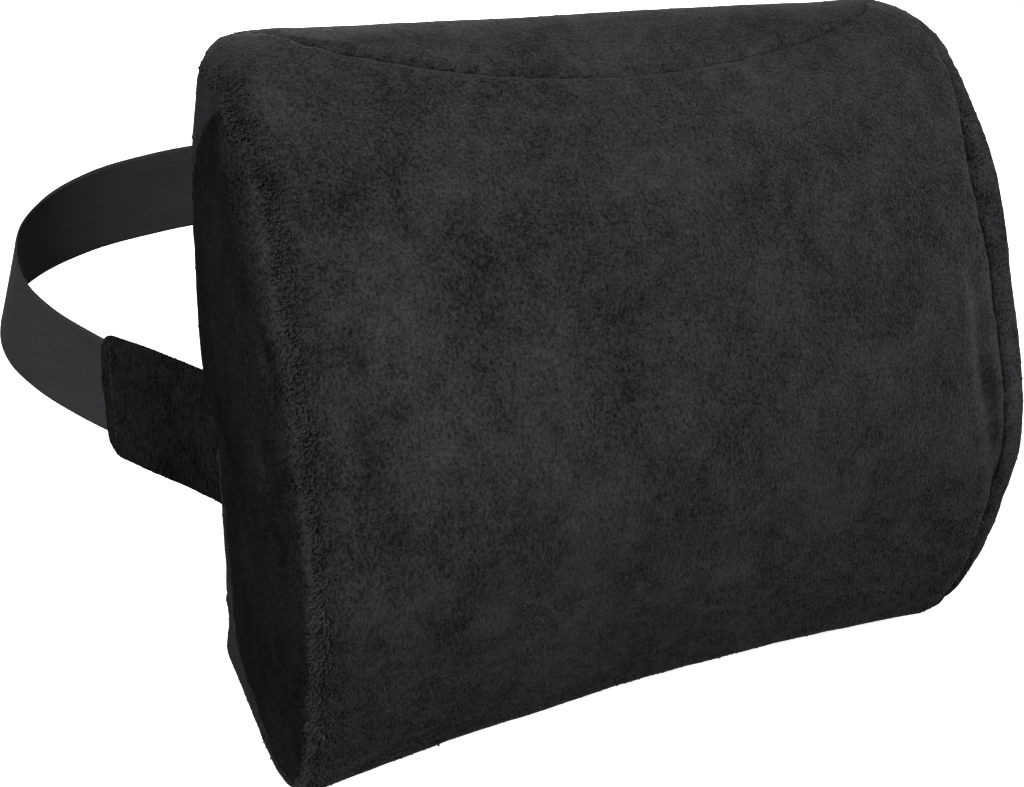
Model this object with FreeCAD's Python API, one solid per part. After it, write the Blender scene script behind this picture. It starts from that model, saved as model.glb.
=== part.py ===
import FreeCAD, Part

import math
import os

# A foam lumbar cushion in a zipped velour cover, with an elastic strap loop at its back.
# Millimetres. X runs across the cushion, +Y points to the chair back, Z is up.
# The origin is the middle of the flat base, which is what the cushion stands on.

# ---- cushion ----
WIDTH = 350.0
HEIGHT = 298.0
# depth of the side outline at fractions of the height, from the base to the top
DEPTHS = ((0.0, 110.0), (0.2, 137.0), (0.4, 145.0), (0.6, 124.0), (0.8, 94.0), (1.0, 32.0))
REAR_Y = DEPTHS[0][1] / 2            # the flat back, against the chair
HOLLOW = 9.7                         # the front is this much further back at mid width
FRONT_CORNER_R = 13.0                # upright corners, seen from above
REAR_CORNER_R = 7.0
TOP_SIDE_R = 24.0                    # left and right ends of the top edge
TOP_FRONT_R = 13.0
TOP_REAR_R = 7.0
BASE_FRONT_R = 14.0
BASE_SIDE_R = 5.0
BASE_REAR_R = 4.0

# ---- layers, from the outside in ----
COVER_T = 2.0
LINER_GAP = 0.4
LINER_T = 0.8
FOAM_GAP = 0.3
ZIP_ROOM = 2.4                       # depth behind the back panels for the zip's tapes and slider

# ---- seams ----
SEAM_GAP = 0.2                       # between neighbouring panels
GUSSET_EDGE = 10.0                   # the side panels reach this far round the upright edges
TOP_SEAM_END = HEIGHT + 7.0          # the curved top seam rises to here at its ends, over the top edge
TOP_SEAM_SAG = 23.5                  # how far it dips at mid width
BASE_SEAM_BACK = 18.0                # the front panel's turn under the base
SPLIT_Y = REAR_Y - 25.0              # inside the foam: parts the front panel from the back panels

# ---- zip across the back ----
ZIP_Z = 40.0
ZIP_SLOT_LENGTH = 290.0
ZIP_SLOT_HEIGHT = 11.0
TAPE_LENGTH = 300.0
TAPE_WIDTH = 14.0
TAPE_T = 0.6
TAPE_DEPTH = COVER_T + 0.05          # outer face of the tapes, in from the back
ZIP_MIDDLE_GAP = 1.2                 # between the two halves, where the slider's web runs
COIL_HEIGHT = 2.3
COIL_OUT = 0.1                       # outer face of the coils, in from the back
STOP_LENGTH = 3.0
STOP_INSET = 2.0                     # from the slot's end to a stop
STOP_GAP = 0.15

SLIDER_LENGTH = 12.0
SLIDER_HEIGHT = 8.4
SLIDER_WALL = 1.1
SLIDER_CLEAR = 0.3
CROWN_LENGTH = 7.6
CROWN_RISE = 2.6
CROWN_WIDTH = 1.8
CROWN_EYE_LENGTH = 4.8
CROWN_EYE_RISE = 1.5
PULL_PIN_R = 0.6
PULL_LENGTH = 26.0
PULL_WIDTH = 7.0
PULL_T = 1.3
PULL_LEG = 1.4
PULL_EYE_LENGTH = 5.4                # clears the crown as the pull flips over
PULL_CORNER_R = 2.5
PULL_HOLE_R = 1.5
PULL_HOLE_INSET = 4.5

# ---- strap loop ----
SWING_Y = REAR_Y - 5.0               # the line through both rear side seams that the loop swings about
SWING_Z = 104.0
STRAP_TILT = 17.5                    # degrees above level, as it stands at rest
STRAP_WIDTH = 46.0
STRAP_T = 1.4
STRAP_RISE = 5.0                     # the strap's middle above its tabs' middle
# one side of the loop, from the seam to mid width: across, and back along the tilted plane
LOOP_POINTS = ((178.6, 0.0), (206.0, 51.0), (234.0, 93.5), (245.0, 130.0),
               (238.0, 161.0), (213.0, 187.0), (158.0, 206.0), (80.0, 214.5))
LOOP_REAR = 215.0
TAB_LENGTH = 66.0
TAB_WIDTH = 62.0
TAB_T = 5.4
TAB_POCKET_GAP = 0.3

# ---- thread ----
THREAD_WIDTH = 0.8
THREAD_RISE = 0.35                   # how far a stitched line stands out of the fabric
TOP_SEAM_THREAD_HALF = 125.0
TAB_STITCH_INSET = 7.0               # from the tab's outer end

FAR = 400.0                          # longer than anything here, for cutting tools


def box(x, y, z):
    """A box between the given pairs of coordinates."""
    corner = FreeCAD.Vector(x[0], y[0], z[0])
    return Part.makeBox(x[1] - x[0], y[1] - y[0], z[1] - z[0], corner)


def mirrored(shape):
    """The same shape on the other side of the cushion."""
    return shape.mirror(FreeCAD.Vector(0, 0, 0), FreeCAD.Vector(1, 0, 0))


# ---- cushion body ----

def depth_at(z):
    """Depth of the side outline at a height: a smooth curve through DEPTHS that never overshoots."""
    heights = [fraction * HEIGHT for fraction, _ in DEPTHS]
    depths = [depth for _, depth in DEPTHS]
    step = heights[1] - heights[0]
    rises = [(b - a) / step for a, b in zip(depths, depths[1:])]
    slopes = [(3 * rises[0] - rises[1]) / 2]
    for before, after in zip(rises, rises[1:]):
        same_way = before * after > 0
        slopes.append(2 * before * after / (before + after) if same_way else 0.0)
    slopes.append((3 * rises[-1] - rises[-2]) / 2)
    i = min(int(z / step), len(rises) - 1)
    t = (z - heights[i]) / step
    return (depths[i] * (1 + 2 * t) * (1 - t) ** 2
            + slopes[i] * step * t * (1 - t) ** 2
            + depths[i + 1] * t * t * (3 - 2 * t)
            - slopes[i + 1] * step * t * t * (1 - t))


def step_in(radius, distance):
    """How far a rounded edge lies inside its face, at a distance from the end it rounds off to."""
    if distance >= radius:
        return 0.0
    return radius - math.sqrt(radius ** 2 - (radius - distance) ** 2)


def plan_outline(z, inset, rear_inset):
    """The closed outline of the cushion at a height, moved in by the given amounts."""
    above = z - inset
    below = HEIGHT - inset - z

    def rounded(top_radius, base_radius):
        return step_in(max(top_radius - inset, 1.0), below) + step_in(max(base_radius - inset, 1.0), above)

    slope = (depth_at(z + 1.0) - depth_at(z)) if z < HEIGHT / 2 else (depth_at(z) - depth_at(z - 1.0))
    half = WIDTH / 2 - inset - rounded(TOP_SIDE_R, BASE_SIDE_R)
    rear = REAR_Y - rear_inset - rounded(TOP_REAR_R, BASE_REAR_R)
    front = REAR_Y - depth_at(z) + inset * math.hypot(1.0, slope) + rounded(TOP_FRONT_R, BASE_FRONT_R)
    front_r = max(FRONT_CORNER_R - inset, 3.0)
    rear_r = max(REAR_CORNER_R - inset, 2.0)
    fit = min(1.0, 0.9 * (rear - front) / (front_r + rear_r))
    front_r *= fit
    rear_r *= fit

    def corner(sign, y, radius, towards):
        """Start, middle and end of a quarter-round upright corner, on the side of that sign."""
        bend = radius * (1 - math.sqrt(0.5))
        side = FreeCAD.Vector(sign * half, y + towards * radius, z)
        middle = FreeCAD.Vector(sign * (half - bend), y + towards * bend, z)
        face = FreeCAD.Vector(sign * (half - radius), y, z)
        return side, middle, face

    rear_left = corner(-1, rear, rear_r, -1)
    rear_right = corner(1, rear, rear_r, -1)
    front_right = corner(1, front, front_r, 1)
    front_left = corner(-1, front, front_r, 1)
    hollow = FreeCAD.Vector(0, front + HOLLOW, z)
    edges = [
        Part.LineSegment(rear_left[2], rear_right[2]),
        Part.Arc(rear_right[2], rear_right[1], rear_right[0]),
        Part.LineSegment(rear_right[0], front_right[0]),
        Part.Arc(front_right[0], front_right[1], front_right[2]),
        Part.Arc(front_right[2], hollow, front_left[2]),
        Part.Arc(front_left[2], front_left[1], front_left[0]),
        Part.LineSegment(front_left[0], rear_left[0]),
        Part.Arc(rear_left[0], rear_left[1], rear_left[2]),
    ]
    return Part.Wire([edge.toShape() for edge in edges])


def body(inset, rear_inset):
    """The cushion's shape moved in by inset, and by rear_inset at its flat back."""
    base = inset
    top = HEIGHT - inset
    quarter = [math.radians(angle) for angle in (0, 30, 60, 90)]
    heights = [base + BASE_FRONT_R * (1 - math.cos(angle)) for angle in quarter]
    heights += [HEIGHT * fraction for fraction in (0.07, 0.12, 0.2, 0.3, 0.4, 0.5, 0.6, 0.7, 0.8, 0.86, 0.9)]
    heights += [top - TOP_SIDE_R * (1 - math.cos(angle)) for angle in reversed(quarter)]
    past_rear = 0.5
    outlines = [plan_outline(z, inset, rear_inset - past_rear) for z in heights]
    loft = Part.makeLoft(outlines, True, False)
    # cutting the back off flat makes it a true plane
    return loft.common(box((-FAR, FAR), (-FAR, REAR_Y - rear_inset), (-FAR, FAR)))


# ---- regions that part the cover into its panels ----

def gusset_region(gap):
    """The leaf shape of the left side panel, seen from the side, run across the left edge.

    gap shrinks the region, so that the same function makes the panel and the room for it.
    """
    tip_top = FreeCAD.Vector(0, REAR_Y - 52.0, HEIGHT - 12.0 - gap)
    tip_base = FreeCAD.Vector(0, REAR_Y - 92.0, 12.0 + gap)
    rear_top = FreeCAD.Vector(0, REAR_Y - 3.0 - gap, HEIGHT * 0.78)
    rear_middle = FreeCAD.Vector(0, REAR_Y - 4.0 - gap, HEIGHT * 0.5)
    rear_base = FreeCAD.Vector(0, REAR_Y - 21.0 - gap, HEIGHT * 0.25)
    rear_curve = Part.BSplineCurve()
    rear_curve.interpolate([tip_base, rear_base, rear_middle, rear_top, tip_top])
    front_base = FreeCAD.Vector(0, -FAR, tip_base.z)
    front_top = FreeCAD.Vector(0, -FAR, tip_top.z)
    wire = Part.Wire([
        rear_curve.toShape(),
        Part.LineSegment(tip_top, front_top).toShape(),
        Part.LineSegment(front_top, front_base).toShape(),
        Part.LineSegment(front_base, tip_base).toShape(),
    ])
    leaf = Part.Face(wire)
    leaf.translate(FreeCAD.Vector(-FAR, 0, 0))
    return leaf.extrude(FreeCAD.Vector(FAR - WIDTH / 2 + GUSSET_EDGE - gap, 0, 0))


def front_region(gap):
    """Everything between the side panels, in front of the base seam and below the curved top seam."""
    end = WIDTH / 2 - GUSSET_EDGE - gap
    seam = Part.Arc(
        FreeCAD.Vector(-end, 0, TOP_SEAM_END - gap),
        FreeCAD.Vector(0, 0, TOP_SEAM_END - TOP_SEAM_SAG - gap),
        FreeCAD.Vector(end, 0, TOP_SEAM_END - gap),
    )
    low = -FAR
    left_low = FreeCAD.Vector(-end, 0, low)
    right_low = FreeCAD.Vector(end, 0, low)
    wire = Part.Wire([
        seam.toShape(),
        Part.LineSegment(seam.EndPoint, right_low).toShape(),
        Part.LineSegment(right_low, left_low).toShape(),
        Part.LineSegment(left_low, seam.StartPoint).toShape(),
    ])
    below_seam = Part.Face(wire)
    below_seam.translate(FreeCAD.Vector(0, -FAR, 0))
    below_seam = below_seam.extrude(FreeCAD.Vector(0, FAR + SPLIT_Y - gap, 0))
    base_seam_y = REAR_Y - DEPTHS[0][1] + BASE_SEAM_BACK
    under_base = box((-FAR, FAR), (base_seam_y - gap, FAR), (-FAR, 2 * BASE_FRONT_R))
    return below_seam.cut(under_base)


def cover_panels():
    """The velour panels of the cover, by name."""
    cover = body(0.0, 0.0).cut(body(COVER_T, COVER_T))
    gusset = gusset_region(SEAM_GAP)
    gusset_room = gusset_region(0.0)
    left = cover.common(gusset)
    rest = cover.cut(gusset_room).cut(mirrored(gusset_room))
    front = rest.common(front_region(SEAM_GAP))
    back = rest.cut(front_region(0.0))
    slot = box((-ZIP_SLOT_LENGTH / 2, ZIP_SLOT_LENGTH / 2), (SPLIT_Y, FAR),
               (ZIP_Z - ZIP_SLOT_HEIGHT / 2, ZIP_Z + ZIP_SLOT_HEIGHT / 2))
    back = back.cut(slot)
    above_zip = box((-FAR, FAR), (-FAR, FAR), (ZIP_Z + SEAM_GAP / 2, FAR))
    below_zip = box((-FAR, FAR), (-FAR, FAR), (-FAR, ZIP_Z - SEAM_GAP / 2))
    return {
        "front_panel": front,
        "side_panel_left": left,
        "side_panel_right": mirrored(left),
        "back_panel_upper": back.common(above_zip),
        "back_panel_lower": back.common(below_zip),
    }


def top_seam_thread():
    """The stitched line along the curved top seam, on the front panel's edge."""
    line = front_region(-THREAD_WIDTH / 2).cut(front_region(THREAD_WIDTH / 2))
    skin = body(-THREAD_RISE, 0.0).cut(body(0.0, 0.0))
    seam_only = box((-TOP_SEAM_THREAD_HALF, TOP_SEAM_THREAD_HALF), (-FAR, SPLIT_Y - 1.0), (HEIGHT / 2, FAR))
    return skin.common(line).common(seam_only)


def inner_liner():
    """The knit sock between foam and cover, one closed layer."""
    outer = COVER_T + LINER_GAP
    rear = COVER_T + ZIP_ROOM
    return body(outer, rear).cut(body(outer + LINER_T, rear + LINER_T))


def foam_core():
    """The moulded foam block."""
    inset = COVER_T + LINER_GAP + LINER_T + FOAM_GAP
    rear = COVER_T + ZIP_ROOM + LINER_T + FOAM_GAP
    return body(inset, rear)


# ---- zip ----

def zip_half(x, depth, z):
    """A bar of the zip's upper half. depth is in from the back, z is up from the zip's middle."""
    return box(x, (REAR_Y - depth[1], REAR_Y - depth[0]), (ZIP_Z + z[0], ZIP_Z + z[1]))


def below_zip_middle(shape):
    """The same bar on the zip's lower half."""
    return shape.mirror(FreeCAD.Vector(0, 0, ZIP_Z), FreeCAD.Vector(0, 0, 1))


def zipper_tape():
    """The upper of the two woven tapes, behind the edge of the back panel."""
    half = TAPE_LENGTH / 2
    low = ZIP_MIDDLE_GAP / 2
    return zip_half((-half, half), (TAPE_DEPTH, TAPE_DEPTH + TAPE_T), (low, low + TAPE_WIDTH))


def stop_inner_end():
    """Distance from mid width to the inner end of either stop."""
    return ZIP_SLOT_LENGTH / 2 - STOP_INSET - STOP_LENGTH


def zipper_coil():
    """The upper coil, on the outer face of its tape between the stops."""
    half = stop_inner_end() - STOP_GAP
    low = ZIP_MIDDLE_GAP / 2
    return zip_half((-half, half), (COIL_OUT, TAPE_DEPTH), (low, low + COIL_HEIGHT))


def zipper_top_stops():
    """Two clips, one at the closed end of each coil."""
    start = stop_inner_end()
    low = ZIP_MIDDLE_GAP / 2
    upper = zip_half((start, start + STOP_LENGTH), (COIL_OUT, TAPE_DEPTH), (low, low + COIL_HEIGHT))
    return Part.makeCompound([upper, below_zip_middle(upper)])


def zipper_bottom_stop():
    """One clip that joins both coils at the open end."""
    start = stop_inner_end()
    reach = ZIP_MIDDLE_GAP / 2 + COIL_HEIGHT
    return zip_half((-start - STOP_LENGTH, -start), (COIL_OUT, TAPE_DEPTH), (-reach, reach))


def slider_middle_x():
    """Where the slider rests with the zip closed."""
    return stop_inner_end() - STOP_GAP - SLIDER_LENGTH / 2


def pull_pivot():
    """The middle of the pull's pin, inside the slider's crown."""
    face = SLIDER_WALL + SLIDER_CLEAR
    return slider_middle_x(), REAR_Y + face - COIL_OUT + CROWN_EYE_RISE / 2


def zipper_slider():
    """Two plates round the coils, joined by a web at the leading end, with a crown for the pull."""
    middle = slider_middle_x()
    x = (middle - SLIDER_LENGTH / 2, middle + SLIDER_LENGTH / 2)
    z = (-SLIDER_HEIGHT / 2, SLIDER_HEIGHT / 2)
    top_face = COIL_OUT - SLIDER_CLEAR
    under = TAPE_DEPTH + TAPE_T + SLIDER_CLEAR
    plate = zip_half(x, (top_face - SLIDER_WALL, top_face), z)
    base = zip_half(x, (under, under + SLIDER_WALL), z)
    flange_z = (SLIDER_HEIGHT / 2 - SLIDER_WALL * 0.8, SLIDER_HEIGHT / 2)
    flange = zip_half(x, (top_face, TAPE_DEPTH - SLIDER_CLEAR), flange_z)
    web_half = ZIP_MIDDLE_GAP / 2 - 0.2
    web = zip_half((x[1] - 4.0, x[1]), (top_face, under), (-web_half, web_half))
    pieces = [base, flange, below_zip_middle(flange), web]
    slider = plate.multiFuse(pieces).removeSplitter()
    rounded = [edge for edge in slider.Edges if is_slider_corner(edge)]
    return slider.makeFillet(1.4, rounded).fuse(slider_crown(middle)).removeSplitter()


def is_slider_corner(edge):
    """True for the slider's four corner edges, which run through the thickness of a plate."""
    ends = [vertex.Point for vertex in edge.Vertexes]
    through = len(ends) == 2 and abs(ends[0].y - ends[1].y) > 0.5
    middle = slider_middle_x()
    at_end = through and abs(abs(ends[0].x - middle) - SLIDER_LENGTH / 2) < 0.01
    at_side = through and abs(abs(ends[0].z - ZIP_Z) - SLIDER_HEIGHT / 2) < 0.01
    return at_end and at_side


def slider_crown(middle):
    """The arch on the slider that the pull's pin runs through."""
    face = REAR_Y - COIL_OUT + SLIDER_CLEAR + SLIDER_WALL
    z = (ZIP_Z - CROWN_WIDTH / 2, ZIP_Z + CROWN_WIDTH / 2)
    arch = box((middle - CROWN_LENGTH / 2, middle + CROWN_LENGTH / 2), (face - 0.1, face + CROWN_RISE), z)
    uprights = [edge for edge in arch.Edges if edge.BoundBox.ZLength > 1.0 and edge.CenterOfMass.y > face + 1.0]
    arch = arch.makeFillet(1.0, uprights)
    eye = box((middle - CROWN_EYE_LENGTH / 2, middle + CROWN_EYE_LENGTH / 2), (face, face + CROWN_EYE_RISE),
              (ZIP_Z - CROWN_WIDTH, ZIP_Z + CROWN_WIDTH))
    return arch.cut(eye)


def zipper_pull():
    """A rounded tab with two legs astride the crown and a pin between them, lying along the zip."""
    x, y = pull_pivot()
    half = PULL_WIDTH / 2
    thick = (y - PULL_T / 2, y + PULL_T / 2)
    blade = box((x - PULL_LENGTH, x), thick, (ZIP_Z - half, ZIP_Z + half))
    outer_corners = [edge for edge in blade.Edges
                     if edge.BoundBox.YLength > PULL_T / 2 and edge.CenterOfMass.x < x - 1.0]
    blade = blade.makeFillet(PULL_CORNER_R, outer_corners)
    foot = FreeCAD.Vector(x, y, ZIP_Z - half)
    blade = blade.fuse(Part.makeCylinder(PULL_T / 2, PULL_WIDTH, foot))
    eye_half = half - PULL_LEG
    eye = box((x - PULL_EYE_LENGTH, x + PULL_T), thick, (ZIP_Z - eye_half, ZIP_Z + eye_half))
    hole_middle = FreeCAD.Vector(x - PULL_LENGTH + PULL_HOLE_INSET, thick[0], ZIP_Z)
    hole = Part.makeCylinder(PULL_HOLE_R, PULL_T, hole_middle, FreeCAD.Vector(0, 1, 0))
    pin = Part.makeCylinder(PULL_PIN_R, PULL_WIDTH, foot)
    return blade.cut(eye).cut(hole).fuse(pin).removeSplitter()


# ---- strap loop ----

def loop_curve(from_start):
    """The loop's middle line in a level plane, as a smooth curve from the left seam to the right seam."""
    half = [FreeCAD.Vector(-across, back, 0) for across, back in LOOP_POINTS]
    other = [FreeCAD.Vector(-point.x, point.y, 0) for point in reversed(half)]
    curve = Part.BSplineCurve()
    curve.interpolate(half + [FreeCAD.Vector(0, LOOP_REAR, 0)] + other)
    length = curve.length()
    start = curve.parameterAtDistance(from_start, curve.FirstParameter)
    end = curve.parameterAtDistance(length - from_start, curve.FirstParameter)
    curve.segment(start, end)
    return curve


def band(curve, thickness, width, rise):
    """A band on edge along a level curve, tilted back on the line the loop swings about.

    rise is the height of the band's middle above that line's plane.
    """
    def side(offset):
        steps = max(6, int(curve.length() / 16.0))
        points = []
        for i in range(steps + 1):
            at = curve.FirstParameter + (curve.LastParameter - curve.FirstParameter) * i / steps
            along = curve.tangent(at)[0]
            points.append(curve.value(at) + FreeCAD.Vector(-along.y, along.x, 0) * offset)
        line = Part.BSplineCurve()
        line.interpolate(points)
        return line

    left = side(thickness / 2)
    right = side(-thickness / 2)
    outline = Part.Wire([
        left.toShape(),
        Part.LineSegment(left.EndPoint, right.EndPoint).toShape(),
        right.toShape(),
        Part.LineSegment(right.StartPoint, left.StartPoint).toShape(),
    ])
    face = Part.Face(outline)
    face.translate(FreeCAD.Vector(0, 0, rise - width / 2))
    solid = face.extrude(FreeCAD.Vector(0, 0, width))
    solid.rotate(FreeCAD.Vector(0, 0, 0), FreeCAD.Vector(1, 0, 0), STRAP_TILT)
    solid.translate(FreeCAD.Vector(0, SWING_Y, SWING_Z))
    return solid


def loop_stretch(start, end):
    """The stretch of the loop's middle line between two distances from the left seam."""
    curve = loop_curve(0.0)
    curve.segment(curve.parameterAtDistance(start, curve.FirstParameter),
                  curve.parameterAtDistance(end, curve.FirstParameter))
    return curve


def elastic_strap():
    """The elastic band, from one rear seam round to the other."""
    return band(loop_curve(1.0), STRAP_T, STRAP_WIDTH, STRAP_RISE)


def strap_tab():
    """The left velour sleeve round the strap's end."""
    sleeve = band(loop_stretch(0.0, TAB_LENGTH), TAB_T, TAB_WIDTH, 0.0)
    pocket = band(loop_curve(0.5), STRAP_T + 2 * TAB_POCKET_GAP, STRAP_WIDTH + 2 * TAB_POCKET_GAP, STRAP_RISE)
    return sleeve.cut(pocket)


def tab_stitches():
    """The stitched line across both faces of the left tab, which holds the strap in it."""
    start = TAB_LENGTH - TAB_STITCH_INSET
    line = band(loop_stretch(start, start + THREAD_WIDTH), TAB_T + 2 * THREAD_RISE, STRAP_WIDTH, STRAP_RISE)
    tab = band(loop_stretch(0.0, TAB_LENGTH), TAB_T, TAB_WIDTH, 0.0)
    return line.cut(tab)


def build():
    """Every piece of the cushion by name."""
    tape = zipper_tape()
    coil = zipper_coil()
    tab = strap_tab()
    stitches = tab_stitches()
    parts = cover_panels()
    parts.update({
        "top_seam_thread": top_seam_thread(),
        "inner_liner": inner_liner(),
        "foam_core": foam_core(),
        "zipper_tape_upper": tape,
        "zipper_tape_lower": below_zip_middle(tape),
        "zipper_coil_upper": coil,
        "zipper_coil_lower": below_zip_middle(coil),
        "zipper_top_stops": zipper_top_stops(),
        "zipper_bottom_stop": zipper_bottom_stop(),
        "zipper_slider": zipper_slider(),
        "zipper_pull": zipper_pull(),
        "elastic_strap": elastic_strap(),
        "strap_tab_left": tab,
        "strap_tab_right": mirrored(tab),
        "tab_stitches_left": stitches,
        "tab_stitches_right": mirrored(stitches),
    })
    return parts


os.makedirs("parts", exist_ok=True)
for name, shape in build().items():
    shape.exportStep("parts/" + name + ".step")
    print(name, "solids", len(shape.Solids), "valid", shape.isValid(), "volume", round(shape.Volume))
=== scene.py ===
import math

import bmesh
import bpy
import numpy as np
from mathutils import Matrix, Vector, noise
from mathutils.bvhtree import BVHTree
from mathutils.kdtree import KDTree


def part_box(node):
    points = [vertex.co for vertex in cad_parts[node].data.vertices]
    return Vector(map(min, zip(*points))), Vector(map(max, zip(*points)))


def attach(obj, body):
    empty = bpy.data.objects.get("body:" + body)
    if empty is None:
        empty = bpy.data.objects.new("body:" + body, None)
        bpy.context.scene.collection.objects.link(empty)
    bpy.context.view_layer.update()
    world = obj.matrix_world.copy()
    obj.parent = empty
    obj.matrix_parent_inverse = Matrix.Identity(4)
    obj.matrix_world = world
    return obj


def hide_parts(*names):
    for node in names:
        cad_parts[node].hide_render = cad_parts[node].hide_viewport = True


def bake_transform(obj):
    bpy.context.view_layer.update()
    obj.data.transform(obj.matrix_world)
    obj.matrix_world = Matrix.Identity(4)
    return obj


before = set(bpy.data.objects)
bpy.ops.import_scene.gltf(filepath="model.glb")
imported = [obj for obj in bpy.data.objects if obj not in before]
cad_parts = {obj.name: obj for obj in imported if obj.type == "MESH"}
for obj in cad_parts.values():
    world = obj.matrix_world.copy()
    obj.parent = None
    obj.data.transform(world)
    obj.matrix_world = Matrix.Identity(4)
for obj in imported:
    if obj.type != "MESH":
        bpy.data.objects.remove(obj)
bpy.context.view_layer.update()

# A lumbar cushion in a velour cover. Row frame, metres: X across, +Y to the chair back, Z up,
# base at Z 0. Shape work below is done in millimetres on numpy arrays, and goes back to metres
# when a mesh is made.
MM = 0.001

PANELS = ("front_panel", "side_panel_left", "side_panel_right",
          "back_panel_upper", "back_panel_lower")
PANEL_CORNERS = [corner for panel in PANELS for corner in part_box(panel)]
HALF_WIDTH = max(corner.x for corner in PANEL_CORNERS) / MM
REAR = max(corner.y for corner in PANEL_CORNERS) / MM
ZIP_Z = sum(corner.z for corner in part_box("zipper_pull")) / 2 / MM
SLOT_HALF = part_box("zipper_top_stops")[1].x / MM + 2.0
SLOT_RISE = 5.5                 # half the height of the zip's slot; SLOT_HALF is half its length


# ---------------------------------------------------------------- small tools

def smooth(low, high, value):
    """0 below low, 1 above high, and a smooth step between."""
    t = np.clip((np.asarray(value, float) - low) / (high - low), 0.0, 1.0)
    return t * t * (3.0 - 2.0 * t)


def through(points):
    """A smooth function through (input, output) points, level past its ends."""
    knots = np.array([point[0] for point in points], float)
    values = np.array([point[1] for point in points], float)
    slopes = np.gradient(values, knots)

    def curve(at):
        at = np.clip(np.asarray(at, float), knots[0], knots[-1])
        i = np.clip(np.searchsorted(knots, at) - 1, 0, len(knots) - 2)
        gap = knots[i + 1] - knots[i]
        t = (at - knots[i]) / gap
        return (values[i] * (1 + 2 * t) * (1 - t) ** 2 + slopes[i] * gap * t * (1 - t) ** 2
                + values[i + 1] * t * t * (3 - 2 * t) - slopes[i + 1] * gap * t * t * (1 - t))

    return curve


def clouds(points, size, seed, stretch=(1.0, 1.0, 1.0)):
    """Smooth noise from about -1 to 1 at each point, with lumps of the given size, in millimetres."""
    scaled = points / size / np.array(stretch) + seed * 17.31
    return np.array([noise.noise(Vector(p)) for p in scaled])


def points_of(mesh):
    """A mesh's vertices in millimetres."""
    flat = np.zeros(len(mesh.vertices) * 3)
    mesh.vertices.foreach_get("co", flat)
    return flat.reshape(-1, 3) / MM


def set_points(mesh, points):
    """Moves a mesh's vertices to points in millimetres."""
    mesh.vertices.foreach_set("co", (points * MM).ravel())
    mesh.update()


def normals_of(mesh):
    """A mesh's vertex normals."""
    flat = np.zeros(len(mesh.vertices) * 3)
    mesh.vertex_normals.foreach_get("vector", flat)
    return flat.reshape(-1, 3)


def linked(name, mesh):
    """A new object that holds the mesh."""
    piece = bpy.data.objects.new(name, mesh)
    bpy.context.scene.collection.objects.link(piece)
    return piece


def mesh_from(name, points, faces):
    """A smooth shaded mesh from points in millimetres."""
    mesh = bpy.data.meshes.new(name)
    mesh.from_pydata((np.asarray(points) * MM).tolist(), [], faces)
    mesh.validate()
    mesh.shade_smooth()
    return mesh


def apply_modifiers(piece):
    """Puts the result of the piece's modifiers in its mesh."""
    depsgraph = bpy.context.evaluated_depsgraph_get()
    mesh = bpy.data.meshes.new_from_object(piece.evaluated_get(depsgraph))
    piece.modifiers.clear()
    piece.data = mesh


def dress(piece, material, slot, body="cushion"):
    """Gives a finished piece its material and its body. slot is not used."""
    piece.data.materials.clear()
    piece.data.materials.append(material)
    if body:
        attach(piece, body)
    return piece


# ---------------------------------------------------------------- materials

def put(tree, kind, inputs=(), **settings):
    """Adds a node, sets it up, and links or sets its inputs."""
    made = tree.nodes.new("ShaderNode" + kind)
    for name, value in settings.items():
        setattr(made, name, value)
    for name, value in dict(inputs).items():
        if isinstance(value, bpy.types.NodeSocket):
            tree.links.new(value, made.inputs[name])
        else:
            made.inputs[name].default_value = value
    return made


def new_material(name):
    """A material with an empty node tree, its output, and object coordinates."""
    material = bpy.data.materials.new(name)
    material.use_nodes = True
    tree = material.node_tree
    tree.nodes.clear()
    place = put(tree, "TexCoord").outputs["Object"]
    return material, tree, place


def grains(tree, place, size, detail=2.0, rough=0.5):
    """Noise with lumps of the given size along each axis, in millimetres."""
    stretched = put(tree, "Mapping", {"Vector": place, "Scale": [1.0 / (s * MM) for s in size]})
    spots = put(tree, "TexNoise", {"Vector": stretched.outputs["Vector"], "Scale": 1.0,
                                   "Detail": detail, "Roughness": rough})
    return spots.outputs["Fac"]


def weighted(tree, *parts):
    """The sum of sockets times their weights."""
    total = None
    for socket, weight in parts:
        share = put(tree, "Math", {0: socket, 1: weight}, operation="MULTIPLY").outputs[0]
        if total is None:
            total = share
        else:
            total = put(tree, "Math", {0: total, 1: share}, operation="ADD").outputs[0]
    return total


def between(tree, mask, low, high, dark, light):
    """A colour that goes from dark to light as the mask goes from low to high."""
    ramp = put(tree, "ValToRGB", {"Fac": mask})
    ramp.color_ramp.elements[0].position = low
    ramp.color_ramp.elements[0].color = (*dark, 1.0)
    ramp.color_ramp.elements[1].position = high
    ramp.color_ramp.elements[1].color = (*light, 1.0)
    return ramp.outputs["Color"]


def shade(tree, colour, bump, depth, **values):
    """Ends a tree in a Principled shader. depth is the bump's height in millimetres."""
    raised = put(tree, "Bump", {"Height": bump, "Distance": depth * MM, "Strength": 1.0})
    inputs = {"Base Color": colour, "Normal": raised.outputs["Normal"]}
    inputs.update({name.replace("_", " "): value for name, value in values.items()})
    shader = put(tree, "BsdfPrincipled", inputs)
    put(tree, "OutputMaterial", {"Surface": shader.outputs["BSDF"]})


# painted light and shade: the direction, in the object's own space, towards which the pile's and the
# satin's colour is painted lightest; surfaces turned away from it are painted darker, standing in for
# how the studio light falls
PILE_PAINTED_LIGHT_SIDE = (0.85, -0.25, 0.45)
SATIN_PAINTED_LIGHT_SIDE = (-0.85, -0.50, 0.10)
PAINTED_SHADE_SPAN = 0.65                # the change is full where the normal and the lean multiply to this


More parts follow.
